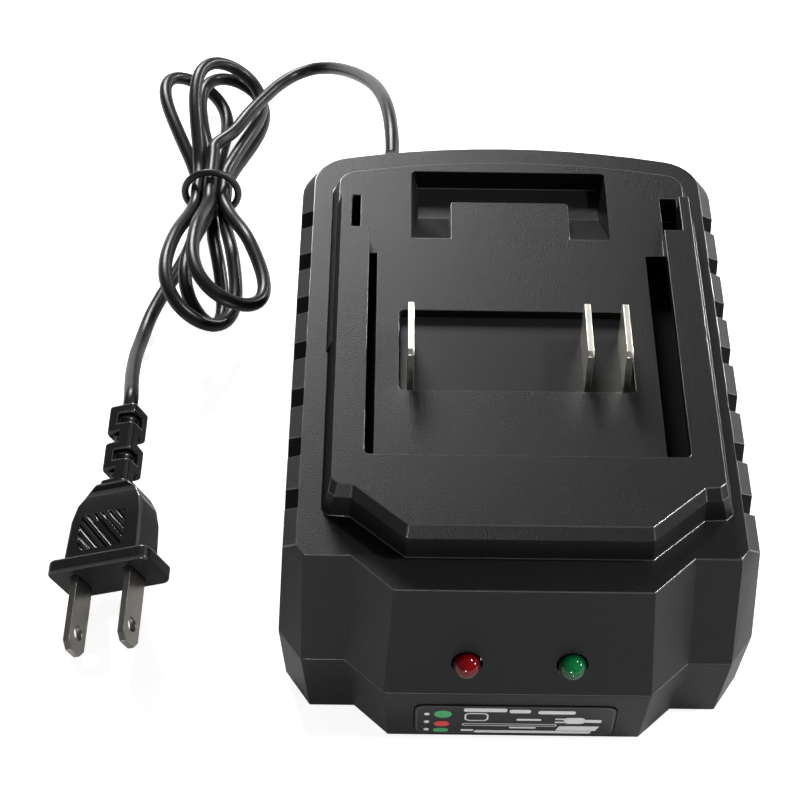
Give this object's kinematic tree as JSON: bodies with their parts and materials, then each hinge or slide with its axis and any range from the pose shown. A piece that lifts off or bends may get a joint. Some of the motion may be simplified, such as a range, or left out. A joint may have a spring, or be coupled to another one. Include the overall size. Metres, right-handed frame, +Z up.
{
  "type": "lithium battery charger",
  "caption": "Tabletop charger for a slide-on battery: ribbed housing, railed battery table with blade terminals, indicator lamps, and a mains lead with plug in a tied hank.",
  "frame": {"origin": "middle of the housing's box at the level of the surface that its feet stand on", "axes": "+X to the right seen from the lamps' side, +Y from the front panel to the rear with the cord exit, +Z up"},
  "size_m": [0.1447, 0.2123, 0.059],
  "materials": {
    "housing_plastic": "satin black ABS with a fine moulded grain",
    "label_film": "dark grey printed film with three blank status pills",
    "plate_film": "blank brushed foil plate",
    "foot_rubber": "matt moulded rubber",
    "screw_steel": "zinc-plated screws",
    "terminal_plastic": "glass-filled nylon",
    "terminal_metal": "tinned brass blades",
    "red_lens": "tinted diffused lens, unlit",
    "green_lens": "tinted diffused lens, unlit",
    "circuit_board": "green solder mask",
    "ferrite": "sintered ferrite",
    "winding": "copper winding under yellow tape",
    "capacitor_sleeve": "shrunk sleeve with a bare top",
    "film_capacitor": "moulded box",
    "disc_capacitor": "dipped coating",
    "package_plastic": "moulded epoxy",
    "fuse_ceramic": "ceramic tube in clips",
    "sink_aluminium": "extruded section",
    "wire_jacket": "insulated wire",
    "grommet_rubber": "flexible sleeve",
    "cord_pvc": "glossy black PVC sheath",
    "tie_rubber": "round elastic band",
    "plug_pvc": "moulded black PVC",
    "plug_metal": "nickel-plated brass"
  },
  "bodies": {
    "root": {"upper_case": "housing_plastic", "lower_case": "housing_plastic", "front_label": "label_film", "rating_plate": "plate_film", "rubber_feet": "foot_rubber", "case_screws": "screw_steel", "terminal_block": "terminal_plastic", "blade_positive": "terminal_metal", "blade_sense": "terminal_metal", "blade_negative": "terminal_metal", "led_red": "red_lens", "led_green": "green_lens", "led_board": "circuit_board", "main_board": "circuit_board", "board_screws": "screw_steel", "transformer_core": "ferrite", "transformer_winding": "winding", "bulk_capacitor": "capacitor_sleeve", "output_capacitors": "capacitor_sleeve", "input_choke": "winding", "x_capacitor": "film_capacitor", "y_capacitor": "disc_capacitor", "bridge_rectifier": "package_plastic", "fuse": "fuse_ceramic", "heat_sink": "sink_aluminium", "power_transistor": "package_plastic", "controller_chip": "package_plastic", "optocoupler": "package_plastic", "output_wires": "wire_jacket", "mains_wires": "wire_jacket", "led_wires": "wire_jacket", "cord_grommet": "grommet_rubber", "cord_jacket": "cord_pvc", "cord_clamp": "terminal_plastic", "clamp_screws": "screw_steel", "cord_lead": "cord_pvc", "cord_hank": "cord_pvc", "cord_tie": "tie_rubber", "cord_tail": "cord_pvc", "plug_body": "plug_pvc", "plug_blades": "plug_metal"}
  },
  "joints": []
}
